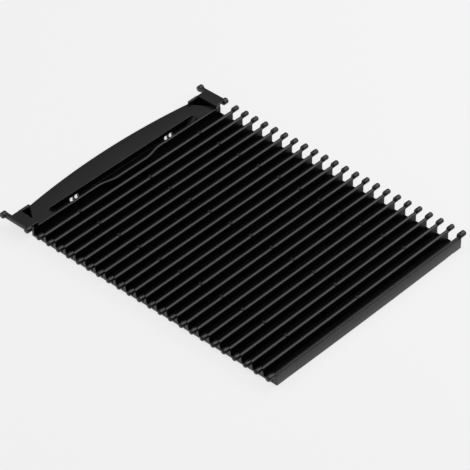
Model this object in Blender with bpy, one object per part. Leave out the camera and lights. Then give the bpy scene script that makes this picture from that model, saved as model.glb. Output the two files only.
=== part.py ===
"""Roller cover lying on its show face with its ribs up.

A pull bar with two runners, a row of ribbed slats and a deeper end slat follow one another along Y.
A soft hinge strip fills each gap, and each slat turns about the strip on its pull-bar side.
"""
import math

import bmesh
import bpy
from mathutils import Vector

MM = 0.001

# Row of slats
SLAT_COUNT = 22
PITCH = 7.0 * MM
HINGE_GAP = 1.5 * MM
CLEARANCE = 0.3 * MM
STRIP_THICKNESS = 0.6 * MM

# Section of a slat
SLAT_LENGTH = 139.6 * MM
SLAT_HEIGHT = 6.2 * MM
SLAT_END_LEAN = 0.6 * MM
PLATE_THICKNESS = 1.2 * MM
PLATE_CHAMFER = 0.3 * MM
WEB_ROOT = 2.2 * MM
WEB_TOP = 1.3 * MM
CREST_WIDTH = 1.6 * MM
CREST_DEPTH = 0.8 * MM
CREST_CHAMFER = 0.4 * MM

# Guide pins at the ends of each slat, on the middle line of the side tracks
TRACK_HEIGHT = 6.15 * MM
PIN_REACH = 4.5 * MM
PIN_EMBED = 0.9 * MM
PIN_NECK_LENGTH = 0.4 * MM
PIN_NECK_SHARE = 0.72
PIN_DIAMETER = 2.8 * MM
PIN_NOSE = 0.8 * MM
PIN_SIDES = 8
PIN_NOSE_TURNS = (0.0, 0.35 * math.pi, 0.5 * math.pi)

# Round ejector pads on the crests
PAD_DIAMETER = 2.2 * MM
PAD_RISE = 0.12 * MM
PAD_DEPTH = 0.9 * MM
PAD_OFFSET = 44.4 * MM
PAD_SIDES = 8

# End slat
END_LENGTH = 138.2 * MM
END_DEPTH = 6.0 * MM
END_TOP_WIDTH = 2.8 * MM
END_LIP_WIDTH = 0.7 * MM
END_GROOVE_WIDTH = 0.7 * MM
END_GROOVE_DEPTH = 0.5 * MM
END_BOW = 0.4 * MM
END_PIN_DIAMETER = 3.2 * MM
END_PIN_REACH = 5.0 * MM
END_STATIONS = 9

# Pull bar
BAR_TOP = 5.5 * MM
BAR_WALL = 1.0 * MM
BAR_DEPTH = 23.2 * MM
BAR_SAGITTA = 4.4 * MM
BAR_FLAT_LENGTH = 121.0 * MM
BAR_FRONT_INSET = 1.9 * MM
BAR_EDGE_STATIONS = 16
LIP_WIDTH = 1.3 * MM
LIP_SETBACK = 4.4 * MM
LIP_BULGE = 2.2 * MM
LIP_BULGE_LENGTH = 22.0 * MM
LIP_RAMP = 12.0 * MM
LIP_RAMP_STEPS = 6
RECESS_LENGTH = 107.6 * MM
RECESS_FLOOR_LENGTH = 98.0 * MM
RECESS_FAR = 10.2 * MM
RECESS_FLOOR = 1.4 * MM
RECESS_CORNER = 2.0 * MM
RECESS_CORNER_STEPS = 4
WINDOW_WIDTH = 2.7 * MM
WINDOW_DEPTH = 1.5 * MM
WINDOW_TOP = 3.3 * MM
WINDOW_PITCH = 3.4 * MM
WINDOW_PAIR_SPACING = 70.0 * MM

# End pockets, shelves and runners of the pull bar
POCKET_DROP = 3.5 * MM
POCKET_INNER = 58.8 * MM
POCKET_CORNER = 7.5 * MM
POCKET_WALL = 0.8 * MM
RIDGE_WIDTH = 1.5 * MM
RIDGE_RISE = 1.7 * MM
SHELF_INNER = 65.8 * MM
SHELF_THICKNESS = 1.2 * MM
RUNNER_TIP = 73.4 * MM
RUNNER_NEAR = 3.0 * MM
RUNNER_LENGTH = 21.0 * MM
RUNNER_WIDTH = 2.2 * MM
RUNNER_HEIGHT = 2.5 * MM
RUNNER_RISE = 0.4 * MM
KNOB_DIAMETER = 3.4 * MM
KNOB_REACH = 1.0 * MM
KNOB_NOSE = 0.3 * MM
KNOB_SIDES = 12

SLAT_HALF = SLAT_LENGTH / 2
PLATE_WIDTH = PITCH - HINGE_GAP
HINGE_HEIGHT = PLATE_THICKNESS / 2
RUNNER_INNER = RUNNER_TIP - RUNNER_WIDTH
RUNNER_AXIS = TRACK_HEIGHT + RUNNER_RISE
RUNNER_TOP = RUNNER_AXIS + RUNNER_HEIGHT / 2
BAR_FRONT_HALF = RUNNER_INNER - BAR_FRONT_INSET
POCKET_LOW = BAR_TOP - POCKET_DROP - BAR_WALL
COVER_FRONT = SLAT_COUNT * PITCH + END_DEPTH + END_BOW
COVER_BACK = max(RUNNER_NEAR + RUNNER_LENGTH, BAR_DEPTH)
FIRST_HINGE = Vector((0.0, (COVER_FRONT - COVER_BACK) / 2, HINGE_HEIGHT))


def clear_scene():
    for old in list(bpy.data.objects):
        bpy.data.objects.remove(old, do_unlink=True)


def plastic(name, grey, roughness):
    """Principled material for one moulding."""
    made = bpy.data.materials.new(name)
    made.use_nodes = True
    shader = made.node_tree.nodes["Principled BSDF"]
    shader.inputs["Base Color"].default_value = (grey, grey, grey * 1.05, 1.0)
    shader.inputs["Roughness"].default_value = roughness
    shader.inputs["Metallic"].default_value = 0.0
    return made


def finished(work, name):
    """Turn a bmesh into a mesh with its faces pointing out."""
    bmesh.ops.recalc_face_normals(work, faces=work.faces)
    mesh = bpy.data.meshes.new(name)
    work.to_mesh(mesh)
    work.free()
    return mesh


def lofted(rings, name):
    """Closed body through rings that have the same number of points."""
    work = bmesh.new()
    loops = [[work.verts.new(point) for point in ring] for ring in rings]
    count = len(loops[0])
    for first, second in zip(loops, loops[1:]):
        for index in range(count):
            following = (index + 1) % count
            work.faces.new((first[index], first[following], second[following], second[index]))
    work.faces.new(loops[0])
    work.faces.new(loops[-1])
    return finished(work, name)


def upright(outline, low, high, name):
    """Prism on an outline seen from above."""
    return lofted([[Vector((x, y, z)) for x, y in outline] for z in (low, high)], name)


def block(low, high, name):
    outline = [(low[0], low[1]), (high[0], low[1]), (high[0], high[1]), (low[0], high[1])]
    return upright(outline, low[2], high[2], name)


def turned(profile, centre, sides, name):
    """Body turned about a line along X, from (x, radius) pairs."""
    rings = []
    for x, radius in profile:
        ring = []
        for side in range(sides):
            angle = 2 * math.pi * side / sides
            y = centre[0] + radius * math.cos(angle)
            z = centre[1] + radius * math.sin(angle)
            ring.append(Vector((x, y, z)))
        rings.append(ring)
    return lofted(rings, name)


def combined(mesh, tool, operation):
    """Boolean of two meshes; both are used up."""
    target = bpy.data.objects.new("target", mesh)
    helper = bpy.data.objects.new("helper", tool)
    bpy.context.collection.objects.link(target)
    bpy.context.collection.objects.link(helper)
    modifier = target.modifiers.new("combine", "BOOLEAN")
    modifier.operation = operation
    modifier.solver = "EXACT"
    modifier.object = helper
    depsgraph = bpy.context.evaluated_depsgraph_get()
    result = bpy.data.meshes.new_from_object(target.evaluated_get(depsgraph))
    bpy.data.objects.remove(target, do_unlink=True)
    bpy.data.objects.remove(helper, do_unlink=True)
    return result


def union(mesh, tools):
    for tool in tools:
        mesh = combined(mesh, tool, "UNION")
    return mesh


def cut(mesh, tools):
    for tool in tools:
        mesh = combined(mesh, tool, "DIFFERENCE")
    return mesh


def placed(name, mesh, material, parent, location):
    made = bpy.data.objects.new(name, mesh)
    bpy.context.collection.objects.link(made)
    made.data.name = name
    made.data.materials.clear()
    made.data.materials.append(material)
    made.parent = parent
    made.location = location
    return made


def pin(side, y, root, reach, diameter):
    """Stub pin with a slim neck and a rounded nose on one side of a slat."""
    z = TRACK_HEIGHT - HINGE_HEIGHT
    nose = min(PIN_NOSE, diameter / 2)
    neck = diameter / 2 * PIN_NECK_SHARE
    stations = [(root - PIN_EMBED, neck), (root + PIN_NECK_LENGTH, neck)]
    stations.append((root + 2 * PIN_NECK_LENGTH, diameter / 2))
    for turn in PIN_NOSE_TURNS:
        x = root + reach - nose + nose * math.sin(turn)
        stations.append((x, diameter / 2 - nose + nose * math.cos(turn)))
    return turned([(side * x, radius) for x, radius in stations], (y, z), PIN_SIDES, "pin")


def pins(y, root, reach, diameter):
    return [pin(side, y, root, reach, diameter) for side in (-1, 1)]


def pad(x, y):
    """Round ejector pad on a crest."""
    top = SLAT_HEIGHT - HINGE_HEIGHT + PAD_RISE
    outline = []
    for side in range(PAD_SIDES):
        angle = 2 * math.pi * (side + 0.5) / PAD_SIDES
        outline.append((x + PAD_DIAMETER / 2 * math.cos(angle), y + PAD_DIAMETER / 2 * math.sin(angle)))
    return upright(outline, top - PAD_DEPTH, top, "pad")


def plate_section():
    """Thin plate of a slat in (y, z) about its hinge line."""
    low = -HINGE_HEIGHT
    near = -HINGE_GAP / 2
    far = near - PLATE_WIDTH
    return [
        (near - PLATE_CHAMFER, low),
        (near, low + PLATE_CHAMFER),
        (near, low + PLATE_THICKNESS),
        (far, low + PLATE_THICKNESS),
        (far, low + PLATE_CHAMFER),
        (far + PLATE_CHAMFER, low),
    ]


def web_section():
    """Tapered rib of a slat with its rounded crest, in (y, z) about the hinge line."""
    right_side = [
        (WEB_ROOT / 2, PLATE_THICKNESS / 2),
        (WEB_ROOT / 2, PLATE_THICKNESS),
        (WEB_TOP / 2, SLAT_HEIGHT - CREST_DEPTH),
        (CREST_WIDTH / 2, SLAT_HEIGHT - CREST_DEPTH),
        (CREST_WIDTH / 2, SLAT_HEIGHT - CREST_CHAMFER),
        (CREST_WIDTH / 2 - CREST_CHAMFER, SLAT_HEIGHT),
    ]
    left_side = [(-y, z) for y, z in reversed(right_side)]
    return [(y - PITCH / 2, z - HINGE_HEIGHT) for y, z in right_side + left_side]


def slat_end(z):
    """Half-length of a slat at height z about its hinge line: the ends lean in toward the show face."""
    below_top = SLAT_HEIGHT - HINGE_HEIGHT - z
    return SLAT_HALF - SLAT_END_LEAN * below_top / SLAT_HEIGHT


def along(section, name):
    """Prism along the slat on a section in (y, z)."""
    return lofted([[Vector((side * slat_end(z), y, z)) for y, z in section] for side in (-1, 1)], name)


def slat_mesh(pad_places, name):
    plate = along(plate_section(), name)
    web = along(web_section(), "web")
    pads = [pad(x, -PITCH / 2) for x in pad_places]
    return union(plate, [web] + pads + pins(-PITCH / 2, SLAT_HALF, PIN_REACH, PIN_DIAMETER))


def strip_mesh():
    """Soft strip that fills a hinge gap, centred on the hinge line."""
    half_width = HINGE_GAP / 2 - CLEARANCE
    half_thickness = STRIP_THICKNESS / 2
    half_length = SLAT_HALF - SLAT_END_LEAN
    low = (-half_length, -half_width, -half_thickness)
    high = (half_length, half_width, half_thickness)
    return block(low, high, "hinge_strip")


def end_section(x):
    """Section of the end slat at x: plate, thick web with a groove in its top, bowed front face."""
    half = END_LENGTH / 2
    front = -END_DEPTH - END_BOW * (1.0 - (x / half) ** 2)
    web_back = -END_DEPTH + END_TOP_WIDTH
    groove_front = -END_DEPTH + END_LIP_WIDTH
    groove_back = groove_front + END_GROOVE_WIDTH
    outline = [
        (-HINGE_GAP / 2, PLATE_CHAMFER),
        (-HINGE_GAP / 2, PLATE_THICKNESS),
        (web_back, PLATE_THICKNESS),
        (web_back, SLAT_HEIGHT),
        (groove_back, SLAT_HEIGHT),
        (groove_back, SLAT_HEIGHT - END_GROOVE_DEPTH),
        (groove_front, SLAT_HEIGHT - END_GROOVE_DEPTH),
        (groove_front, SLAT_HEIGHT),
        (-END_DEPTH, SLAT_HEIGHT),
        (front, SLAT_HEIGHT / 2),
        (front, PLATE_CHAMFER),
        (front + PLATE_CHAMFER, 0.0),
        (-HINGE_GAP / 2 - PLATE_CHAMFER, 0.0),
    ]
    return [Vector((x, y, z - HINGE_HEIGHT)) for y, z in outline]


def end_mesh():
    half = END_LENGTH / 2
    stations = [half * (2 * step / (END_STATIONS - 1) - 1) for step in range(END_STATIONS)]
    body = lofted([end_section(x) for x in stations], "end_slat")
    rib_width = END_TOP_WIDTH - END_LIP_WIDTH - END_GROOVE_WIDTH
    rib_middle = -END_DEPTH + END_TOP_WIDTH - rib_width / 2
    return union(body, pins(rib_middle, half, END_PIN_REACH, END_PIN_DIAMETER))


def lip_front(x):
    """Front line of the bar's raised lip: straight, with a bulge toward the slats in the middle."""
    share = (abs(x) - LIP_BULGE_LENGTH / 2) / LIP_RAMP
    share = min(1.0, max(0.0, share))
    eased = share * share * (3.0 - 2.0 * share)
    return LIP_SETBACK - LIP_BULGE * (1.0 - eased)


def lip_places():
    """X places that the lip's outline needs, from left to right."""
    ramp = [LIP_BULGE_LENGTH / 2 + LIP_RAMP * step / LIP_RAMP_STEPS for step in range(LIP_RAMP_STEPS + 1)]
    return [-x for x in reversed(ramp)] + ramp


def bar_edge(x):
    """Curved outer edge of the bar."""
    half = BAR_FLAT_LENGTH / 2
    radius = (half * half + BAR_SAGITTA * BAR_SAGITTA) / (2 * BAR_SAGITTA)
    return BAR_DEPTH - radius + math.sqrt(radius * radius - x * x)


def bar_plate():
    """Flat web of the bar between its lip and its curved edge."""
    half = BAR_FLAT_LENGTH / 2
    front = [(x, lip_front(x)) for x in [-half] + lip_places() + [half]]
    edge = [half * (1 - 2 * step / BAR_EDGE_STATIONS) for step in range(BAR_EDGE_STATIONS + 1)]
    outline = front + [(x, bar_edge(x)) for x in edge]
    return upright(outline, BAR_TOP - BAR_WALL, BAR_TOP, "pull_bar")


def trough_ring(front_shift, far, length, corner, z):
    """Outline of the long trough at height z: near side along the lip, corners round."""
    near = LIP_SETBACK + front_shift
    radius = min(corner, (far - near) / 2)
    end = length / 2 - radius
    right = []
    for start, middle in ((-math.pi / 2, near + radius), (0.0, far - radius)):
        for step in range(RECESS_CORNER_STEPS + 1):
            angle = start + math.pi / 2 * step / RECESS_CORNER_STEPS
            right.append((end + radius * math.cos(angle), middle + radius * math.sin(angle)))
    left = [(-x, y) for x, y in reversed(right)]
    lip = [(x, lip_front(x) + front_shift) for x in lip_places()]
    return [Vector((x, y, z)) for x, y in lip + right + left]


def trough(front_shift, far, wall, low, high):
    """Body of the trough, shorter at its floor than at its mouth."""
    corner = RECESS_CORNER + wall
    mouth = RECESS_LENGTH + 2 * wall
    rings = [
        trough_ring(front_shift, far, RECESS_FLOOR_LENGTH + 2 * wall, corner, low),
        trough_ring(front_shift, far, mouth, corner, BAR_TOP),
    ]
    if high > BAR_TOP:
        rings.append(trough_ring(front_shift, far, mouth, corner, high))
    return lofted(rings, "trough")


def side_block(side, low, high):
    """Block on one side of the bar, from corners given for the right side."""
    left, right = sorted((side * low[0], side * high[0]))
    return block((left, low[1], low[2]), (right, high[1], high[2]), "bar_end")


def pocket_outline(side, spread):
    """Corner pocket seen from above, with its slanted side moved out by a spread."""
    far = bar_edge(BAR_FLAT_LENGTH / 2) - RIDGE_WIDTH / 2
    outer = SHELF_INNER + POCKET_WALL / 2
    corners = [(POCKET_INNER - spread, far), (outer, far), (outer, POCKET_CORNER - spread)]
    return [(side * x, y) for x, y in corners]


def pocket(side):
    return upright(pocket_outline(side, 0.0), POCKET_LOW + BAR_WALL, 2 * BAR_TOP, "pocket")


def bar_end(side):
    """End of the flat, housing of its corner pocket and front wall, before the pocket is cut."""
    inner = BAR_FLAT_LENGTH / 2 - BAR_WALL
    near = LIP_SETBACK
    far = bar_edge(BAR_FLAT_LENGTH / 2)
    outer = SHELF_INNER + POCKET_WALL
    spread = math.sqrt(2) * BAR_WALL
    housing = upright(pocket_outline(side, spread), POCKET_LOW, BAR_TOP - BAR_WALL / 2, "housing")
    return [
        side_block(side, (inner, near, BAR_TOP - BAR_WALL), (outer, far, BAR_TOP)),
        housing,
        side_block(side, (inner, near, 0.0), (BAR_FRONT_HALF, near + LIP_WIDTH, BAR_TOP)),
    ]


def bar_end_top(side):
    """Ridge, shelf with its wall and post, and runner at one end of the bar."""
    near = LIP_SETBACK
    far = bar_edge(BAR_FLAT_LENGTH / 2)
    outer = SHELF_INNER + POCKET_WALL
    under = RUNNER_TOP - SHELF_THICKNESS
    shelf_far = far - RIDGE_WIDTH / 2
    ridge_low = (POCKET_INNER, far - RIDGE_WIDTH, POCKET_LOW)
    ridge = side_block(side, ridge_low, (outer, far, BAR_TOP + RIDGE_RISE))
    wall = side_block(side, (SHELF_INNER, near, POCKET_LOW), (outer, shelf_far, under + SHELF_THICKNESS / 2))
    post = side_block(side, (SHELF_INNER, near, 0.0), (BAR_FRONT_HALF, near + LIP_WIDTH, RUNNER_TOP))
    shelf_outer = RUNNER_INNER + RUNNER_WIDTH / 2
    shelf = side_block(side, (SHELF_INNER, near, under), (shelf_outer, shelf_far, RUNNER_TOP))
    return [ridge, wall, post, shelf] + runner(side)


def runner(side):
    """Rail with a round knob at each end, in the same side track as the pins."""
    radius = KNOB_DIAMETER / 2
    near = RUNNER_NEAR + radius
    far = RUNNER_NEAR + RUNNER_LENGTH - radius
    low = (RUNNER_INNER, near, RUNNER_AXIS - RUNNER_HEIGHT / 2)
    high = (RUNNER_TIP, far, RUNNER_TOP)
    tip = RUNNER_TIP + KNOB_REACH
    profile = [(RUNNER_INNER, radius - KNOB_NOSE), (RUNNER_INNER + KNOB_NOSE, radius)]
    profile += [(tip - KNOB_NOSE, radius), (tip, radius - KNOB_NOSE)]
    profile = [(side * x, size) for x, size in profile]
    knobs = [turned(profile, (y, RUNNER_AXIS), KNOB_SIDES, "knob") for y in (near, far)]
    return [side_block(side, low, high)] + knobs


def windows():
    """Pairs of slots at the foot of the trough's far wall."""
    made = []
    for pair in (-WINDOW_PAIR_SPACING / 2, WINDOW_PAIR_SPACING / 2):
        for x in (pair - WINDOW_PITCH / 2, pair + WINDOW_PITCH / 2):
            low = (x - WINDOW_WIDTH / 2, RECESS_FAR - WINDOW_DEPTH, -RECESS_FLOOR)
            high = (x + WINDOW_WIDTH / 2, RECESS_FAR + 2 * BAR_WALL, WINDOW_TOP)
            made.append(block(low, high, "window"))
    return made


def bar_mesh():
    """Pull bar about the first hinge line, with z measured from the show face."""
    housing = trough(0.0, RECESS_FAR + BAR_WALL, BAR_WALL, 0.0, BAR_TOP)
    low = (-BAR_FRONT_HALF, HINGE_GAP / 2, 0.0)
    high = (BAR_FRONT_HALF, LIP_SETBACK + LIP_WIDTH, PLATE_THICKNESS)
    flange = block(low, high, "flange")
    front_low = (-BAR_FLAT_LENGTH / 2, LIP_SETBACK, 0.0)
    front_high = (BAR_FLAT_LENGTH / 2, LIP_SETBACK + LIP_WIDTH, BAR_TOP - BAR_WALL / 2)
    front_wall = block(front_low, front_high, "front_wall")
    body = union(bar_plate(), [housing, flange, front_wall] + bar_end(-1) + bar_end(1))
    recess = trough(LIP_WIDTH, RECESS_FAR, 0.0, RECESS_FLOOR, 2 * BAR_TOP)
    body = cut(body, [recess, pocket(-1), pocket(1)] + windows())
    body = union(body, bar_end_top(-1) + bar_end_top(1))
    for vertex in body.vertices:
        vertex.co.z -= HINGE_HEIGHT
    return body


def build():
    clear_scene()
    black = plastic("black_plastic", 0.024, 0.48)
    soft = plastic("soft_hinge_black", 0.012, 0.7)
    bar = placed("pull_bar", bar_mesh(), black, None, FIRST_HINGE)
    side_padded = slat_mesh((-PAD_OFFSET, PAD_OFFSET), "slat_side_pads")
    middle_padded = slat_mesh((0.0,), "slat_middle_pad")
    strip = strip_mesh()
    carrier = bar
    for number in range(1, SLAT_COUNT + 1):
        mesh = side_padded if number % 2 else middle_padded
        step = (0.0, 0.0, 0.0) if number == 1 else (0.0, -PITCH, 0.0)
        carrier = placed(f"slat_{number:02d}", mesh.copy(), black, carrier, step)
        placed(f"hinge_strip_{number:02d}", strip.copy(), soft, carrier, (0.0, 0.0, 0.0))
    carrier = placed("end_slat", end_mesh(), black, carrier, (0.0, -PITCH, 0.0))
    placed(f"hinge_strip_{SLAT_COUNT + 1:02d}", strip.copy(), soft, carrier, (0.0, 0.0, 0.0))
    bpy.context.view_layer.update()


build()
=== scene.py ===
"""Looks of the roller cover: finer mouldings in satin black, soft strips, studio light."""
import math

import bmesh
import bpy
from mathutils import Matrix, Vector


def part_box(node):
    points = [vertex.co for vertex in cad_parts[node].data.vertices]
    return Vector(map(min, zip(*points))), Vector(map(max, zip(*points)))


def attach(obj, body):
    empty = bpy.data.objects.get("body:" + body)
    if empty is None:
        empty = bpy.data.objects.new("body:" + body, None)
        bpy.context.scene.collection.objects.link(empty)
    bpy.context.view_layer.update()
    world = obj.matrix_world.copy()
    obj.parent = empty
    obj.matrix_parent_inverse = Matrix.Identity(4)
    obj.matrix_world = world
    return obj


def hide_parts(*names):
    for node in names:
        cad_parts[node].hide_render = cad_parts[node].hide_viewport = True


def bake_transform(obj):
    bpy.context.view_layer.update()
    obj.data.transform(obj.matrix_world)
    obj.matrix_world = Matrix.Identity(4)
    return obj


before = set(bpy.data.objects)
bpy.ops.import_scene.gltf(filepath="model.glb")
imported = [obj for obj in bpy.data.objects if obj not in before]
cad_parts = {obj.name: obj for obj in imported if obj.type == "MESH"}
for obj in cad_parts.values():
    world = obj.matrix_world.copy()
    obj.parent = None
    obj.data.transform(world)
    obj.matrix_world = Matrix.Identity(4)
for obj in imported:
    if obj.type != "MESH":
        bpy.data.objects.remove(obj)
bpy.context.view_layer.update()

MM = 0.001
UP = (0.0, 0.0, 1.0)

# Slat section, about the middle of the slat and up from the show face
HINGE_GAP = 1.5 * MM
SLAT_HALF = 69.8 * MM
SLAT_END_LEAN = 0.6 * MM
SLAT_HEIGHT = 6.2 * MM
PLATE_HALF = 2.75 * MM
PLATE_TOP = 1.2 * MM
WEB_ROOT_HALF = 1.1 * MM
WEB_TOP_HALF = 0.65 * MM
CREST_RADIUS = 1.1 * MM
CREST_STEPS = 6
END_EASE = 0.08 * MM
END_EASE_STEPS = 2
PLATE_EASE = 0.06 * MM
SHOW_EASE = 0.35 * MM
EASE_STEPS = 4
SECTION_STEPS = 5

# Soft strips: how far they go into the plates on each side
STRIP_EMBED = 0.5 * MM
STRIP_STEPS = 10

# Guide pins, with a dimple on top, and ejector pads
TRACK_HEIGHT = 6.15 * MM
PIN_REACH = 4.5 * MM
PIN_EMBED = 1.0 * MM
PIN_SWELL = 1.9 * MM
PIN_FOOT = 0.6 * MM
PIN_STEPS = 6
PIN_RUN = 2.0 * MM
PIN_DIAMETER = 2.8 * MM
PIN_NOSE = 0.8 * MM
PIN_SIDES = 20
DIMPLE_RADIUS = 0.5 * MM
DIMPLE_FLOOR = 0.3 * MM
DIMPLE_SIDES = 12
DIMPLE_DEPTH = 0.6 * MM
DIMPLE_PLACE = 1.45 * MM
PAD_RADIUS = 1.1 * MM
PAD_RISE = 0.12 * MM
PAD_RIM = 0.8 * PAD_RISE
PAD_CHAMFER = 0.3 * PAD_RIM
PAD_DEPTH = 0.9 * MM
PAD_OFFSET = 44.4 * MM
PAD_SIDES = 20

# End slat, about its hinge line
END_HALF = 69.1 * MM
END_DEPTH = 6.0 * MM
END_TOP_WIDTH = 2.8 * MM
END_LIP_WIDTH = 0.7 * MM
END_GROOVE_WIDTH = 0.7 * MM
END_GROOVE_DEPTH = 0.5 * MM
END_BOW = 0.4 * MM
END_RIB_BACK_EASE = 0.45 * MM
END_RIB_FRONT_EASE = 0.3 * MM
END_GROOVE_EASE = 0.15 * MM
END_LIP_EASE = 0.25 * MM
END_FACE_EASE = 0.4 * MM
END_PIN_DIAMETER = 3.2 * MM
END_PIN_REACH = 5.0 * MM
END_STATIONS = 25

# Pull bar, about the first hinge line and up from the show face
BAR_TOP = 5.5 * MM
BAR_WALL = 1.0 * MM
BAR_DEPTH = 23.2 * MM
BAR_SAGITTA = 4.4 * MM
BAR_FLAT_HALF = 60.5 * MM
BAR_FRONT_HALF = 69.3 * MM
BAR_EDGE_STEPS = 48
BAR_EASE = 0.7 * MM
MOUTH_EASE = 0.15 * MM
LIP_WIDTH = 1.3 * MM
LIP_SETBACK = 4.4 * MM
LIP_BULGE = 2.2 * MM
LIP_BULGE_HALF = 11.0 * MM
LIP_RAMP = 12.0 * MM
LIP_RAMP_STEPS = 14
RECESS_HALF = 53.8 * MM
RECESS_FLOOR_HALF = 49.0 * MM
RECESS_FAR = 10.2 * MM
RECESS_FLOOR = 1.4 * MM
RECESS_CORNER = 2.0 * MM
RECESS_CORNER_STEPS = 8
RECESS_FILLET = 0.06 * MM
WINDOW_WIDTH = 2.7 * MM
WINDOW_DEPTH = 1.5 * MM
WINDOW_TOP = 2.9 * MM
WINDOW_PITCH = 3.4 * MM
WINDOW_PAIR_SPACING = 70.0 * MM
WINDOW_CORNER = 0.4 * MM
WINDOW_CORNER_STEPS = 3

# End pockets, shelves and runners of the pull bar
POCKET_LOW = 1.0 * MM
POCKET_INNER = 58.8 * MM
POCKET_CORNER = 7.5 * MM
POCKET_WALL = 0.8 * MM
RIDGE_WIDTH = 1.5 * MM
RIDGE_RISE = 1.7 * MM
SHELF_INNER = 65.8 * MM
SHELF_THICKNESS = 1.2 * MM
RUNNER_INNER = 71.2 * MM
RUNNER_TIP = 73.4 * MM
RUNNER_NEAR = 3.0 * MM
RUNNER_FAR = 24.0 * MM
RUNNER_HEIGHT = 2.5 * MM
RUNNER_RISE = 0.4 * MM
RUNNER_AXIS = TRACK_HEIGHT + RUNNER_RISE
RUNNER_TOP = RUNNER_AXIS + RUNNER_HEIGHT / 2
RUNNER_EASE = 0.35 * MM
POST_EASE = 0.15 * MM
SEAM = 0.04 * MM
CORNER_SHARE = 1.5
KNOB_RADIUS = 1.7 * MM
KNOB_REACH = 1.0 * MM
KNOB_NOSE = 0.4 * MM
KNOB_SIDES = 28

# Rounding and shading: the share of a side that a corner may take, and limits on angles and normals
SIDE_SHARE = 0.49
SMOOTH_ANGLE = math.radians(32)
STRAIGHT = math.radians(89)
# Limit on normals that sorts faces into the painted shade of sides and floors
PAINTED_SHADE_TURN = 0.8

# Plastics: spread of the mottled tone, the gloss and the rubbed edges, and the strength of the grain
BLUE_TINT = 1.06
MOTTLE_SCALE = 90.0
MOTTLE_DETAIL = 4.0
MOTTLE_RANGE = (0.35, 0.7)
WEAR_RANGE = (0.52, 0.62)
GLOSS_SCALE = 420.0
GLOSS_DETAIL = 3.0
GRAIN_DETAIL = 2.0
GRAIN_STRENGTH = 0.35
GRAIN_HEIGHT = 0.02 * MM
MOULDED_GLOSS = (0.27, 0.39)
MOULDED_GRAIN = 1800.0
RUBBER_GLOSS = (0.55, 0.7)
RUBBER_GRAIN = 2500.0

# Camera fitted to the picture, in metres, degrees and pixels
PITCH = 7.0 * MM
PICTURE_WIDTH = 470
FOCAL_PIXELS = 2741.7
SENSOR_WIDTH = 36.0
CAMERA_AZIMUTH = math.radians(-47.49)
CAMERA_ELEVATION = math.radians(39.59)
CAMERA_DISTANCE = 196.34 * PITCH
CAMERA_SIDE = -0.778 * PITCH
CAMERA_ALONG = -10.648 * PITCH
CLIP_NEAR = 0.05
CLIP_FAR = 20.0

# Sky of the studio: its radiance low and high, and the heights where it starts and stops to rise
SKY_LOW = 0.02
SKY_HIGH = 0.42
SKY_FOOT = 0.2
SKY_HEAD = 0.62

# Paper floor and the two softboxes, in metres and watts
FLOOR_HALF = 3.0
FLOOR_DROP = 0.1 * MM
PAPER_TONE = 0.85
PAPER_ROUGHNESS = 0.9
WHITE_TONE = 0.93
WHITE_SHARE = 0.8
FRONT_PLACE = (0.48, -0.25, 0.65)
FRONT_SIZE = (1.0, 0.9)
FRONT_WATTS = 5.3
BACK_PLACE = (-0.55, 0.52, 0.66)
BACK_SIZE = (0.6, 0.6)
BACK_WATTS = 1.5


def quarter(steps):
    """Angles of a quarter turn in even steps."""
    return [math.pi / 2 * step / steps for step in range(steps + 1)]


def eased(share):
    """Share from 0 to 1 with a soft start and a soft stop."""
    return share * share * (3.0 - 2.0 * share)


def rounded(corners, steps):
    """Closed outline through (y, z, radius) corners with each corner rounded."""
    outline = []
    count = len(corners)
    for index, (y, z, radius) in enumerate(corners):
        here = Vector((y, z))
        before = Vector(corners[index - 1][:2]) - here
        after = Vector(corners[(index + 1) % count][:2]) - here
        a = before.normalized()
        b = after.normalized()
        half = a.angle(b) / 2
        if radius <= 0.0 or half > STRAIGHT:
            outline.append((y, z))
            continue
        longest = SIDE_SHARE * min(before.length, after.length)
        reach = min(radius / math.tan(half), longest)
        true_radius = reach * math.tan(half)
        centre = here + (a + b).normalized() * (true_radius / math.sin(half))
        start = here + a * reach - centre
        end = here + b * reach - centre
        turn = start.angle_signed(end)
        for step in range(steps + 1):
            arm = start.copy()
            arm.rotate(Matrix.Rotation(-turn * step / steps, 2))
            outline.append(tuple(centre + arm))
    return outline


def inset(outline, amount):
    """Outline moved inward by an amount, with its corners mitred."""
    count = len(outline)
    area = 0.0
    for index, (x, y) in enumerate(outline):
        next_x, next_y = outline[(index + 1) % count]
        area += x * next_y - next_x * y
    sign = 1.0 if area > 0 else -1.0
    moved = []
    for index, point in enumerate(outline):
        here = Vector(point)
        before = (here - Vector(outline[index - 1])).normalized()
        after = (Vector(outline[(index + 1) % count]) - here).normalized()
        inward = Vector((-before.y - after.y, before.x + after.x)) * sign
        moved.append(tuple(here + inward * (amount / (1.0 + before.dot(after)))))
    return moved


def level(outline, z):
    """Ring at one height on an outline seen from above."""
    return [Vector((x, y, z)) for x, y in outline]


def finished(work, name):
    bmesh.ops.recalc_face_normals(work, faces=work.faces)
    mesh = bpy.data.meshes.new(name)
    work.to_mesh(mesh)
    work.free()
    return mesh


def lofted(rings, name):
    """Closed body through rings that have the same number of points."""
    work = bmesh.new()
    loops = [[work.verts.new(point) for point in ring] for ring in rings]
    count = len(loops[0])
    for first, second in zip(loops, loops[1:]):
        for index in range(count):
            following = (index + 1) % count
            work.faces.new((first[index], first[following], second[following], second[index]))
    work.faces.new(loops[0])
    work.faces.new(loops[-1])
    return finished(work, name)


def revolved(profile, origin, axis, sides, name):
    """Closed body turned about an axis from (distance along, radius) pairs."""
    axis = Vector(axis).normalized()
    across = axis.orthogonal().normalized()
    other = axis.cross(across)
    rings = []
    for along, radius in profile:
        ring = []
        for side in range(sides):
            angle = 2 * math.pi * side / sides
            spoke = across * math.cos(angle) + other * math.sin(angle)
            ring.append(Vector(origin) + axis * along + spoke * radius)
        rings.append(ring)
    return lofted(rings, name)


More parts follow.
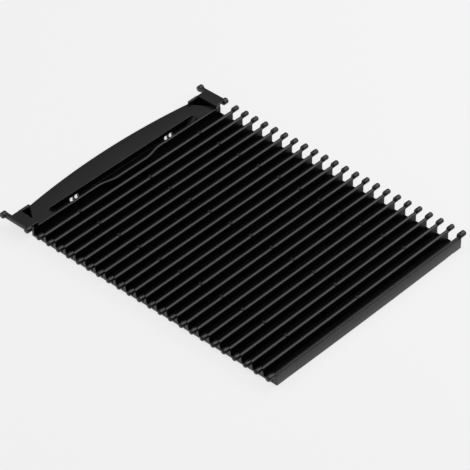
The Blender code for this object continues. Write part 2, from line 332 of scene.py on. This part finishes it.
def linked(name, data):
    """New object in the scene."""
    made = bpy.data.objects.new(name, data)
    bpy.context.collection.objects.link(made)
    return made


def combined(mesh, tool, operation):
    """Boolean of two meshes; both are used up."""
    target = linked("target", mesh)
    helper = linked("helper", tool)
    modifier = target.modifiers.new("combine", "BOOLEAN")
    modifier.operation = operation
    modifier.solver = "EXACT"
    modifier.object = helper
    depsgraph = bpy.context.evaluated_depsgraph_get()
    result = bpy.data.meshes.new_from_object(target.evaluated_get(depsgraph))
    bpy.data.objects.remove(target, do_unlink=True)
    bpy.data.objects.remove(helper, do_unlink=True)
    return result


def union(mesh, tools):
    for tool in tools:
        mesh = combined(mesh, tool, "UNION")
    return mesh


def cut(mesh, tools):
    for tool in tools:
        mesh = combined(mesh, tool, "DIFFERENCE")
    return mesh


def smooth(mesh):
    mesh.shade_smooth()
    mesh.set_sharp_from_angle(angle=SMOOTH_ANGLE)
    return mesh


def with_painted_shade(mesh, plastics_with_painted_shade, top):
    """Mesh in the first plastic, with painted shade below a height: darker, duller copies of it, the
    second on sides and the third on floors.
    """
    mesh.materials.clear()
    for plastic in plastics_with_painted_shade:
        mesh.materials.append(plastic)
    for face in mesh.polygons:
        if face.center.z > top or abs(face.normal.x) > PAINTED_SHADE_TURN:
            continue
        # Painted shade: floors get the darkest copy and sides the darker one; high faces, ends and
        # undersides stay satin.
        if face.normal.z > PAINTED_SHADE_TURN:
            face.material_index = 2
        elif face.normal.z > -PAINTED_SHADE_TURN:
            face.material_index = 1
    return mesh


def slat_rings(section):
    """Rings along a slat, with its ends rounded over and leaning in toward the show face."""
    run = [(PIN_RUN, 0.0)]
    for turn in quarter(END_EASE_STEPS):
        run.append((END_EASE * (1 - math.sin(turn)), END_EASE * (1 - math.cos(turn))))
    places = [(-1, back, gap) for back, gap in reversed(run)]
    places += [(1, back, gap) for back, gap in run]
    rings = []
    for side, back, gap in places:
        ring = []
        for y, z in inset(section, gap):
            lean = SLAT_END_LEAN * (SLAT_HEIGHT - z) / SLAT_HEIGHT
            ring.append(Vector((side * (SLAT_HALF - back - lean), y, z)))
        rings.append(ring)
    return rings


def pin_stations(root, reach, radius):
    """(place along X, radius, height of the middle) of a pin, from inside the crest to its nose."""
    crest = SLAT_HEIGHT - CREST_RADIUS
    stations = []
    for step in range(PIN_STEPS + 1):
        share = step / PIN_STEPS
        place = root - PIN_EMBED + PIN_SWELL * share
        girth = PIN_FOOT + (radius - PIN_FOOT) * eased(share)
        stations.append((place, girth, crest + (TRACK_HEIGHT - crest) * eased(share)))
    for turn in quarter(PIN_STEPS):
        place = root + reach - PIN_NOSE + PIN_NOSE * math.sin(turn)
        stations.append((place, radius - PIN_NOSE + PIN_NOSE * math.cos(turn), TRACK_HEIGHT))
    return stations


def pins_and_dimples(y, root, reach, diameter):
    """Guide pins at both ends of a moulding, and the tools for their dimples."""
    pins = []
    dimples = []
    turns = [2 * math.pi * (side + 0.5) / PIN_SIDES for side in range(PIN_SIDES)]
    circle = [(math.cos(turn), math.sin(turn)) for turn in turns]
    hole = [(-DIMPLE_DEPTH, DIMPLE_FLOOR), (0.0, DIMPLE_RADIUS), (DIMPLE_DEPTH, DIMPLE_RADIUS)]
    for side in (-1, 1):
        rings = []
        for x, radius, z in pin_stations(root, reach, diameter / 2):
            rings.append([Vector((side * x, y + radius * a, z + radius * b)) for a, b in circle])
        pins.append(lofted(rings, "pin"))
        place = (side * (root + DIMPLE_PLACE), y, TRACK_HEIGHT + diameter / 2)
        dimples.append(revolved(hole, place, UP, DIMPLE_SIDES, "dimple"))
    return pins, dimples


def pad(x):
    """Round ejector pad on the crest, with an eased rim."""
    profile = [
        (-PAD_DEPTH, PAD_RADIUS),
        (-PAD_RIM, PAD_RADIUS),
        (-PAD_CHAMFER, PAD_RADIUS - PAD_CHAMFER),
        (0.0, PAD_RADIUS - PAD_RIM),
    ]
    return revolved(profile, (x, 0.0, SLAT_HEIGHT + PAD_RISE), UP, PAD_SIDES, "pad")


def slat_mesh(pad_places, name):
    """Slat about its own middle: plate, tapered web, round crest, pins and pads."""
    crest = SLAT_HEIGHT - CREST_RADIUS
    right = [
        (PLATE_HALF, 0.0, SHOW_EASE),
        (PLATE_HALF, PLATE_TOP, PLATE_EASE),
        (WEB_ROOT_HALF, PLATE_TOP, PLATE_EASE),
        (WEB_TOP_HALF, crest, 0.0),
    ]
    for turn in quarter(CREST_STEPS)[:-1]:
        right.append((CREST_RADIUS * math.cos(turn), crest + CREST_RADIUS * math.sin(turn), 0.0))
    left = [(-y, z, radius) for y, z, radius in reversed(right)]
    section = rounded(right + [(0.0, SLAT_HEIGHT, 0.0)] + left, SECTION_STEPS)
    body = lofted(slat_rings(section), name)
    pads = [pad(x) for x in pad_places]
    pins, dimples = pins_and_dimples(0.0, SLAT_HALF, PIN_REACH, PIN_DIAMETER)
    return smooth(cut(union(body, pads + pins), dimples))


def end_ring(x):
    """Rounded section of the end slat at x, about its hinge line."""
    share = x / END_HALF
    front = -END_DEPTH - END_BOW * (1.0 - share * share)
    web_back = -END_DEPTH + END_TOP_WIDTH
    groove_front = -END_DEPTH + END_LIP_WIDTH
    groove_back = groove_front + END_GROOVE_WIDTH
    floor = SLAT_HEIGHT - END_GROOVE_DEPTH
    corners = [
        (-HINGE_GAP / 2, 0.0, SHOW_EASE),
        (-HINGE_GAP / 2, PLATE_TOP, PLATE_EASE),
        (web_back, PLATE_TOP, PLATE_EASE),
        (web_back, SLAT_HEIGHT, END_RIB_BACK_EASE),
        (groove_back, SLAT_HEIGHT, END_RIB_FRONT_EASE),
        (groove_back, floor, END_GROOVE_EASE),
        (groove_front, floor, END_GROOVE_EASE),
        (groove_front, SLAT_HEIGHT, END_GROOVE_EASE),
        (-END_DEPTH, SLAT_HEIGHT, END_LIP_EASE),
        (front, SLAT_HEIGHT / 2, END_FACE_EASE),
        (front, 0.0, END_FACE_EASE),
    ]
    return rounded(corners, EASE_STEPS)


def end_mesh():
    """End slat about its hinge line, with a bowed front, a grooved top and larger pins."""
    inner = END_HALF - END_EASE
    places = [END_HALF * (2 * step / (END_STATIONS - 1) - 1) for step in range(END_STATIONS)]
    places[0] = -inner
    places[-1] = inner
    stations = [(-END_HALF, END_EASE)] + [(x, 0.0) for x in places] + [(END_HALF, END_EASE)]
    rings = [[Vector((x, y, z)) for y, z in inset(end_ring(x), gap)] for x, gap in stations]
    body = lofted(rings, "end_slat_fine")
    rib_width = END_TOP_WIDTH - END_LIP_WIDTH - END_GROOVE_WIDTH
    rib_middle = -END_DEPTH + END_TOP_WIDTH - rib_width / 2
    pins, dimples = pins_and_dimples(rib_middle, END_HALF, END_PIN_REACH, END_PIN_DIAMETER)
    return smooth(cut(union(body, pins), dimples))


def slab(outline, low, high, ease, name):
    """Upright body on an outline seen from above, with its top edge rounded."""
    rings = [level(outline, low)]
    for turn in quarter(EASE_STEPS):
        gap = ease * (1 - math.cos(turn))
        rings.append(level(inset(outline, gap), high - ease * (1 - math.sin(turn))))
    return lofted(rings, name)


def side_slab(side, low, high, ease):
    """Rounded block on one side of the bar, from corners given for the right side."""
    corners = [(low[0], low[1]), (high[0], low[1]), (high[0], high[1]), (low[0], high[1])]
    outline = rounded([(side * x, y, CORNER_SHARE * ease) for x, y in corners], EASE_STEPS)
    return slab(outline, low[2], high[2], ease, "bar_end")


def cutter(outlines, name):
    """Tool for a hollow through (outline, height) pairs, with a rounded mouth at the bar's top."""
    rings = [level(outline, z) for outline, z in outlines]
    mouth = outlines[-1][0]
    for turn in quarter(EASE_STEPS):
        gap = MOUTH_EASE * (1 - math.cos(turn))
        rings.append(level(inset(mouth, -gap), BAR_TOP - MOUTH_EASE * (1 - math.sin(turn))))
    rings.append([Vector((point.x, point.y, 2 * BAR_TOP)) for point in rings[-1]])
    return lofted(rings, name)


def lip_front(x):
    """Front line of the bar's lip: straight, with a bulge toward the slats in the middle."""
    share = min(1.0, max(0.0, (abs(x) - LIP_BULGE_HALF) / LIP_RAMP))
    return LIP_SETBACK - LIP_BULGE * (1.0 - eased(share))


def lip_places():
    """Places along X where the lip's bulge needs points."""
    steps = range(LIP_RAMP_STEPS + 1)
    ramp_places = [LIP_BULGE_HALF + LIP_RAMP * step / LIP_RAMP_STEPS for step in steps]
    return [-x for x in reversed(ramp_places)] + ramp_places


def bar_edge(x):
    """Curved outer edge of the bar."""
    radius = (BAR_FLAT_HALF ** 2 + BAR_SAGITTA ** 2) / (2 * BAR_SAGITTA)
    return BAR_DEPTH - radius + math.sqrt(radius * radius - x * x)


def bar_flat():
    """Flat of the bar with its two ends, rounded along the whole rim."""
    outer = SHELF_INNER + POCKET_WALL / 3
    far = bar_edge(BAR_FLAT_HALF)
    front = [(x, lip_front(x)) for x in [-outer] + lip_places() + [outer]]
    steps = range(BAR_EDGE_STEPS + 1)
    edge = [BAR_FLAT_HALF * (1 - 2 * step / BAR_EDGE_STEPS) for step in steps]
    outline = front + [(outer, far)] + [(x, bar_edge(x)) for x in edge] + [(-outer, far)]
    return slab(outline, BAR_TOP - BAR_WALL, BAR_TOP, BAR_EASE, "fine_pull_bar")


def trough_outline(shift, far, half, corner):
    """Outline of the long trough: near side along the lip, corners round."""
    near = LIP_SETBACK + shift
    radius = min(corner, (far - near) / 2)
    right = []
    for start, middle in ((-math.pi / 2, near + radius), (0.0, far - radius)):
        for turn in quarter(RECESS_CORNER_STEPS):
            x = half - radius + radius * math.cos(start + turn)
            right.append((x, middle + radius * math.sin(start + turn)))
    left = [(-x, y) for x, y in reversed(right)]
    return [(x, lip_front(x) + shift) for x in lip_places()] + right + left


def trough_housing():
    """Walls and floor round the trough, before it is hollowed."""
    far = RECESS_FAR + BAR_WALL
    corner = RECESS_CORNER + BAR_WALL
    foot = trough_outline(0.0, far, RECESS_FLOOR_HALF + BAR_WALL, corner)
    top = trough_outline(0.0, far, RECESS_HALF + BAR_WALL, corner)
    return lofted([level(foot, 0.0), level(top, BAR_TOP - BAR_WALL / 2)], "housing")


def trough_cutter():
    foot = trough_outline(LIP_WIDTH, RECESS_FAR, RECESS_FLOOR_HALF, RECESS_CORNER)
    mouth = trough_outline(LIP_WIDTH, RECESS_FAR, RECESS_HALF, RECESS_CORNER)
    outlines = [
        (inset(foot, RECESS_FILLET), RECESS_FLOOR),
        (foot, RECESS_FLOOR + RECESS_FILLET),
        (mouth, BAR_TOP - MOUTH_EASE),
    ]
    return cutter(outlines, "recess")


def windows():
    """Tools for the pairs of slots with rounded corners at the foot of the trough's far wall."""
    places = (RECESS_FAR - WINDOW_DEPTH, RECESS_FAR + 2 * BAR_WALL)
    made = []
    for pair in (-WINDOW_PAIR_SPACING / 2, WINDOW_PAIR_SPACING / 2):
        for middle in (pair - WINDOW_PITCH / 2, pair + WINDOW_PITCH / 2):
            left = middle - WINDOW_WIDTH / 2
            right = middle + WINDOW_WIDTH / 2
            corners = [
                (left, -BAR_TOP, 0.0),
                (right, -BAR_TOP, 0.0),
                (right, WINDOW_TOP, WINDOW_CORNER),
                (left, WINDOW_TOP, WINDOW_CORNER),
            ]
            outline = rounded(corners, WINDOW_CORNER_STEPS)
            rings = [[Vector((x, y, z)) for x, z in outline] for y in places]
            made.append(lofted(rings, "window"))
    return made


def pocket_outline(side, spread):
    """Corner pocket seen from above, with its slanted side moved out by a spread."""
    far = bar_edge(BAR_FLAT_HALF) - RIDGE_WIDTH / 2
    outer = SHELF_INNER + POCKET_WALL / 2
    corners = [(POCKET_INNER - spread, far), (outer, far), (outer, POCKET_CORNER - spread)]
    return [(side * x, y) for x, y in corners]


def pocket_cutter(side):
    outline = pocket_outline(side, 0.0)
    heights = (POCKET_LOW + BAR_WALL, BAR_TOP - MOUTH_EASE)
    return cutter([(outline, z) for z in heights], "pocket")


def pocket_housing(side):
    outline = pocket_outline(side, math.sqrt(2) * BAR_WALL)
    heights = (POCKET_LOW, BAR_TOP - BAR_WALL / 2)
    return lofted([level(outline, z) for z in heights], "housing")


def bar_end_top(side):
    """Ridge, shelf with its wall and post, and runner at one end of the bar."""
    near = LIP_SETBACK
    far = bar_edge(BAR_FLAT_HALF)
    outer = SHELF_INNER + POCKET_WALL
    inside = RUNNER_TOP - SHELF_THICKNESS / 2
    shelf_far = far - RIDGE_WIDTH / 2
    shelf_outer = (RUNNER_INNER + RUNNER_TIP) / 2
    ridge_low = (POCKET_INNER, far - RIDGE_WIDTH, POCKET_LOW + SEAM)
    ridge_high = (outer - SEAM, far - SEAM, BAR_TOP + RIDGE_RISE)
    wall_low = (SHELF_INNER + SEAM, near + SEAM, POCKET_LOW + 2 * SEAM)
    wall_high = (outer - 2 * SEAM, shelf_far - SEAM, inside)
    post_low = (SHELF_INNER + 2 * SEAM, near + 2 * SEAM, SEAM)
    post_high = (BAR_FRONT_HALF - SEAM, near + LIP_WIDTH - SEAM, inside - SEAM)
    shelf_low = (SHELF_INNER, near, RUNNER_TOP - SHELF_THICKNESS)
    shelf_high = (shelf_outer, shelf_far, RUNNER_TOP - SEAM)
    return [
        side_slab(side, ridge_low, ridge_high, RUNNER_EASE),
        side_slab(side, wall_low, wall_high, POST_EASE),
        side_slab(side, post_low, post_high, POST_EASE),
        side_slab(side, shelf_low, shelf_high, RUNNER_EASE),
    ] + runner(side)


def runner(side):
    """Rail with rounded edges and a round knob at each end."""
    near = RUNNER_NEAR + KNOB_RADIUS
    far = RUNNER_FAR - KNOB_RADIUS
    low = RUNNER_AXIS - RUNNER_HEIGHT / 2
    corners = [
        (RUNNER_INNER, low),
        (RUNNER_TIP, low),
        (RUNNER_TIP, RUNNER_TOP),
        (RUNNER_INNER, RUNNER_TOP),
    ]
    section = rounded([(side * x, z, RUNNER_EASE) for x, z in corners], EASE_STEPS)
    rail = lofted([[Vector((x, y, z)) for x, z in section] for y in (near, far)], "rail")
    tip = RUNNER_TIP + KNOB_REACH
    profile = []
    for turn in quarter(EASE_STEPS):
        drop = KNOB_NOSE * (1 - math.sin(turn))
        profile.append((RUNNER_INNER + KNOB_NOSE * (1 - math.cos(turn)), KNOB_RADIUS - drop))
    profile += [(tip - (place - RUNNER_INNER), radius) for place, radius in reversed(profile)]
    knobs = []
    for y in (near, far):
        knobs.append(revolved(profile, (0.0, y, RUNNER_AXIS), (side, 0.0, 0.0), KNOB_SIDES, "knob"))
    return [rail] + knobs


def bar_mesh():
    """Pull bar: flat with a rounded lip, deep trough, corner pockets, shelves and runners."""
    behind = LIP_SETBACK + LIP_WIDTH
    top = BAR_TOP - BAR_WALL / 2
    flange_corners = [
        (HINGE_GAP / 2, 0.0, SHOW_EASE),
        (HINGE_GAP / 2, PLATE_TOP, PLATE_EASE),
        (behind, PLATE_TOP, 0.0),
        (behind, 0.0, 0.0),
    ]
    flange = rounded(flange_corners, EASE_STEPS)
    wall = [(LIP_SETBACK, 0.0), (behind, 0.0), (behind, top), (LIP_SETBACK, top)]
    lower = [trough_housing()]
    for section in (flange, wall):
        ends = (-BAR_FRONT_HALF, BAR_FRONT_HALF)
        lower.append(lofted([[Vector((x, y, z)) for y, z in section] for x in ends], "front"))
    body = union(bar_flat(), lower + [pocket_housing(-1), pocket_housing(1)])
    body = cut(body, [trough_cutter(), pocket_cutter(-1), pocket_cutter(1)] + windows())
    return smooth(union(body, bar_end_top(-1) + bar_end_top(1)))


def strip_mesh(low, high):
    """Soft strip as long and thick as its solid, let into the plates on both sides."""
    half = HINGE_GAP / 2 + STRIP_EMBED
    middle = (low[1] + high[1]) / 2
    section = [(low[0], low[2]), (high[0], low[2]), (high[0], high[2]), (low[0], high[2])]
    rings = []
    for step in range(STRIP_STEPS + 1):
        y = middle + half * (1 - 2 * step / STRIP_STEPS)
        rings.append([Vector((x, y, z)) for x, z in section])
    return smooth(lofted(rings, "soft_strip"))


def node(tree, kind, place, **values):
    made = tree.nodes.new(kind)
    made.location = place
    for key, value in values.items():
        setattr(made, key, value)
    return made


def noise(tree, scale, detail, place):
    made = node(tree, "ShaderNodeTexNoise", place)
    made.inputs["Scale"].default_value = scale
    made.inputs["Detail"].default_value = detail
    return made


def ramp(tree, low, high, spread, place):
    """Colour ramp between two colours over a spread of its factor."""
    made = node(tree, "ShaderNodeValToRGB", place)
    for element, colour, position in zip(made.color_ramp.elements, (low, high), spread):
        element.position = position
        element.color = colour
    return made


def black_tone(value):
    return (value, value, value * BLUE_TINT, 1.0)


def moulded(name, tones, worn, shine, roughness, grain_scale):
    """Satin moulded plastic: mottled tone, varying gloss, fine grain and rubbed edges."""
    made = bpy.data.materials.new(name)
    made.use_nodes = True
    tree = made.node_tree
    shader = tree.nodes["Principled BSDF"]
    shader.inputs["Metallic"].default_value = 0.0
    shader.inputs["Specular IOR Level"].default_value = shine
    coords = node(tree, "ShaderNodeTexCoord", (-1400, 0))
    broad = noise(tree, MOTTLE_SCALE, MOTTLE_DETAIL, (-1100, 300))
    tree.links.new(coords.outputs["Object"], broad.inputs["Vector"])
    dark, light = tones
    tone = ramp(tree, black_tone(dark), black_tone(light), MOTTLE_RANGE, (-850, 300))
    tree.links.new(broad.outputs["Fac"], tone.inputs["Fac"])
    geometry = node(tree, "ShaderNodeNewGeometry", (-1100, 650))
    edges = ramp(tree, (0, 0, 0, 1), (1, 1, 1, 1), WEAR_RANGE, (-850, 650))
    tree.links.new(geometry.outputs["Pointiness"], edges.inputs["Fac"])
    rubbed = node(tree, "ShaderNodeMix", (-500, 400), data_type="RGBA")
    tree.links.new(edges.outputs["Color"], rubbed.inputs["Factor"])
    tree.links.new(tone.outputs["Color"], rubbed.inputs["A"])
    rubbed.inputs["B"].default_value = black_tone(worn)
    tree.links.new(rubbed.outputs["Result"], shader.inputs["Base Color"])
    fine = noise(tree, GLOSS_SCALE, GLOSS_DETAIL, (-1100, 0))
    tree.links.new(coords.outputs["Object"], fine.inputs["Vector"])
    gloss = node(tree, "ShaderNodeMapRange", (-850, 0))
    gloss.inputs["To Min"].default_value = roughness[0]
    gloss.inputs["To Max"].default_value = roughness[1]
    tree.links.new(fine.outputs["Fac"], gloss.inputs["Value"])
    tree.links.new(gloss.outputs["Result"], shader.inputs["Roughness"])
    grain = noise(tree, grain_scale, GRAIN_DETAIL, (-1100, -300))
    tree.links.new(coords.outputs["Object"], grain.inputs["Vector"])
    bump = node(tree, "ShaderNodeBump", (-500, -300))
    bump.inputs["Strength"].default_value = GRAIN_STRENGTH
    bump.inputs["Distance"].default_value = GRAIN_HEIGHT
    tree.links.new(grain.outputs["Fac"], bump.inputs["Height"])
    tree.links.new(bump.outputs["Normal"], shader.inputs["Normal"])
    return made


def node_names(start):
    """Names of the CAD nodes that begin with a word, in order."""
    return sorted(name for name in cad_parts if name.startswith(start))


def first_hinge():
    """Y of the hinge line between the bar and the first slat."""
    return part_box("slat_01")[1][1] + HINGE_GAP / 2


def put(mesh, name, place, body):
    """Moulding in place of the solid that its body is named after."""
    made = linked(name, mesh)
    made.location = place
    bpy.context.view_layer.update()
    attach(made, body)
    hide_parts(body)


def dress_slats(plastics_with_painted_shade):
    """Slats with pads at the sides and with one in the middle, by turns."""
    crest = SLAT_HEIGHT - CREST_RADIUS
    # Faces below the crest's round get painted shade.
    side_padded = with_painted_shade(slat_mesh((-PAD_OFFSET, PAD_OFFSET), "slat_side_pads"), plastics_with_painted_shade, crest)
    middle_padded = with_painted_shade(slat_mesh((0.0,), "slat_middle_pad"), plastics_with_painted_shade, crest)
    for number, name in enumerate(node_names("slat_"), start=1):
        low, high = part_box(name)
        mesh = side_padded if number % 2 else middle_padded
        place = (0.0, (low[1] + high[1]) / 2, low[2])
        put(mesh.copy(), f"fine_{name}", place, name)


def dress_end(plastics_with_painted_shade):
    low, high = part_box("end_slat")
    place = (0.0, high[1] + HINGE_GAP / 2, low[2])
    put(with_painted_shade(end_mesh(), plastics_with_painted_shade, 0.0), "fine_end_slat", place, "end_slat")


def dress_bar(plastics_with_painted_shade):
    place = (0.0, first_hinge(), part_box("pull_bar")[0][2])
    # Faces below the rounded top of the bar get painted shade.
    put(with_painted_shade(bar_mesh(), plastics_with_painted_shade, BAR_TOP - BAR_EASE), "fine_pull_bar", place, "pull_bar")


def dress_strips(material):
    """Soft strips in place of the solid strips, between the two mouldings they join."""
    strips = node_names("hinge_strip_")
    chain = ["pull_bar"] + node_names("slat_") + ["end_slat"]
    for strip, before, after in zip(strips, chain, chain[1:]):
        low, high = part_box(strip)
        mesh = strip_mesh(low, high)
        mesh.materials.append(material)
        made = linked(f"soft_{strip}", mesh)
        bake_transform(made)
        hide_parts(strip)


def camera():
    """Camera where the picture was taken from."""
    target = Vector((CAMERA_SIDE, first_hinge() + CAMERA_ALONG, SLAT_HEIGHT))
    right = Vector((math.cos(CAMERA_AZIMUTH), math.sin(CAMERA_AZIMUTH), 0.0))
    away = Vector((math.sin(CAMERA_AZIMUTH), -math.cos(CAMERA_AZIMUTH), 0.0))
    back = away * math.cos(CAMERA_ELEVATION) + Vector(UP) * math.sin(CAMERA_ELEVATION)
    data = bpy.data.cameras.new("camera")
    data.lens = FOCAL_PIXELS / PICTURE_WIDTH * SENSOR_WIDTH
    data.sensor_width = SENSOR_WIDTH
    data.clip_start = CLIP_NEAR
    data.clip_end = CLIP_FAR
    made = linked("camera", data)
    turn = Matrix((right, back.cross(right), back)).transposed()
    made.matrix_world = Matrix.Translation(target + back * CAMERA_DISTANCE) @ turn.to_4x4()
    bpy.context.scene.camera = made


def softbox(name, place, size, watts):
    """Area light that faces the middle of the part."""
    data = bpy.data.lights.new(name, "AREA")
    data.shape = "RECTANGLE"
    data.size, data.size_y = size
    data.energy = watts
    made = linked(name, data)
    made.location = place
    made.rotation_euler = (-Vector(place)).to_track_quat("-Z", "Y").to_euler()


def sky():
    """World that is dark at the horizon and brighter overhead."""
    world = bpy.data.worlds.new("studio")
    bpy.context.scene.world = world
    world.use_nodes = True
    tree = world.node_tree
    background = tree.nodes["Background"]
    background.inputs["Color"].default_value = (1.0, 1.0, 1.0, 1.0)
    coords = node(tree, "ShaderNodeTexCoord", (-900, 0))
    parts = node(tree, "ShaderNodeSeparateXYZ", (-700, 0))
    tree.links.new(coords.outputs["Generated"], parts.inputs["Vector"])
    rise = node(tree, "ShaderNodeMapRange", (-400, 0))
    rise.inputs["From Min"].default_value = SKY_FOOT
    rise.inputs["From Max"].default_value = SKY_HEAD
    rise.inputs["To Min"].default_value = SKY_LOW
    rise.inputs["To Max"].default_value = SKY_HIGH
    tree.links.new(parts.outputs["Z"], rise.inputs["Value"])
    tree.links.new(rise.outputs["Result"], background.inputs["Strength"])


def white_rays(tree):
    """1 for rays that should meet the plain white studio, 0 for rays that only light the part."""
    path = node(tree, "ShaderNodeLightPath", (-900, 300))
    seen = node(tree, "ShaderNodeMath", (-600, 300), operation="MAXIMUM")
    tree.links.new(path.outputs["Is Camera Ray"], seen.inputs[0])
    tree.links.new(path.outputs["Is Glossy Ray"], seen.inputs[1])
    both = node(tree, "ShaderNodeMath", (-400, 300), operation="MAXIMUM")
    tree.links.new(seen.outputs[0], both.inputs[0])
    tree.links.new(path.outputs["Is Transmission Ray"], both.inputs[1])
    return both.outputs[0]


def paper():
    """Pale paper that is lit by the lamps and mostly plain white to the camera."""
    made = bpy.data.materials.new("paper")
    made.use_nodes = True
    tree = made.node_tree
    shader = tree.nodes["Principled BSDF"]
    shader.inputs["Base Color"].default_value = (PAPER_TONE, PAPER_TONE, PAPER_TONE, 1.0)
    shader.inputs["Roughness"].default_value = PAPER_ROUGHNESS
    glow = node(tree, "ShaderNodeEmission", (0, 300))
    glow.inputs["Color"].default_value = (WHITE_TONE, WHITE_TONE, WHITE_TONE, 1.0)
    glow.inputs["Strength"].default_value = 1.0
    share = node(tree, "ShaderNodeMath", (-200, 300), operation="MULTIPLY")
    tree.links.new(white_rays(tree), share.inputs[0])
    share.inputs[1].default_value = WHITE_SHARE
    mix = node(tree, "ShaderNodeMixShader", (300, 200))
    tree.links.new(share.outputs[0], mix.inputs["Fac"])
    tree.links.new(shader.outputs["BSDF"], mix.inputs[1])
    tree.links.new(glow.outputs["Emission"], mix.inputs[2])
    tree.links.new(mix.outputs["Shader"], tree.nodes["Material Output"].inputs["Surface"])
    return made


def studio():
    """Sky, paper floor and two softboxes."""
    sky()
    work = bmesh.new()
    half = FLOOR_HALF
    corners = level([(-half, -half), (half, -half), (half, half), (-half, half)], -FLOOR_DROP)
    work.faces.new([work.verts.new(corner) for corner in corners])
    floor = linked("floor", finished(work, "floor"))
    floor.data.materials.append(paper())
    softbox("front_light", FRONT_PLACE, FRONT_SIZE, FRONT_WATTS)
    softbox("back_light", BACK_PLACE, BACK_SIZE, BACK_WATTS)


bpy.context.scene.view_settings.view_transform = "Standard"
satin = moulded("satin_black", (0.0018, 0.0032), 0.004, 0.5, MOULDED_GLOSS, MOULDED_GRAIN)
# Darker, duller copies of the satin black, used as painted shade on the sides and floors of channels
# and hollows.
channel = moulded("channel_black_painted_shade", (0.001, 0.0018), 0.002, 0.22, MOULDED_GLOSS, MOULDED_GRAIN)
deep = moulded("floor_black_painted_shade", (0.001, 0.0016), 0.0016, 0.05, MOULDED_GLOSS, MOULDED_GRAIN)
rubber = moulded("soft_black", (0.0012, 0.002), 0.003, 0.2, RUBBER_GLOSS, RUBBER_GRAIN)
plastics_with_painted_shade = (satin, channel, deep)
dress_slats(plastics_with_painted_shade)
dress_end(plastics_with_painted_shade)
dress_bar(plastics_with_painted_shade)
dress_strips(rubber)
camera()
studio()
bpy.context.view_layer.update()
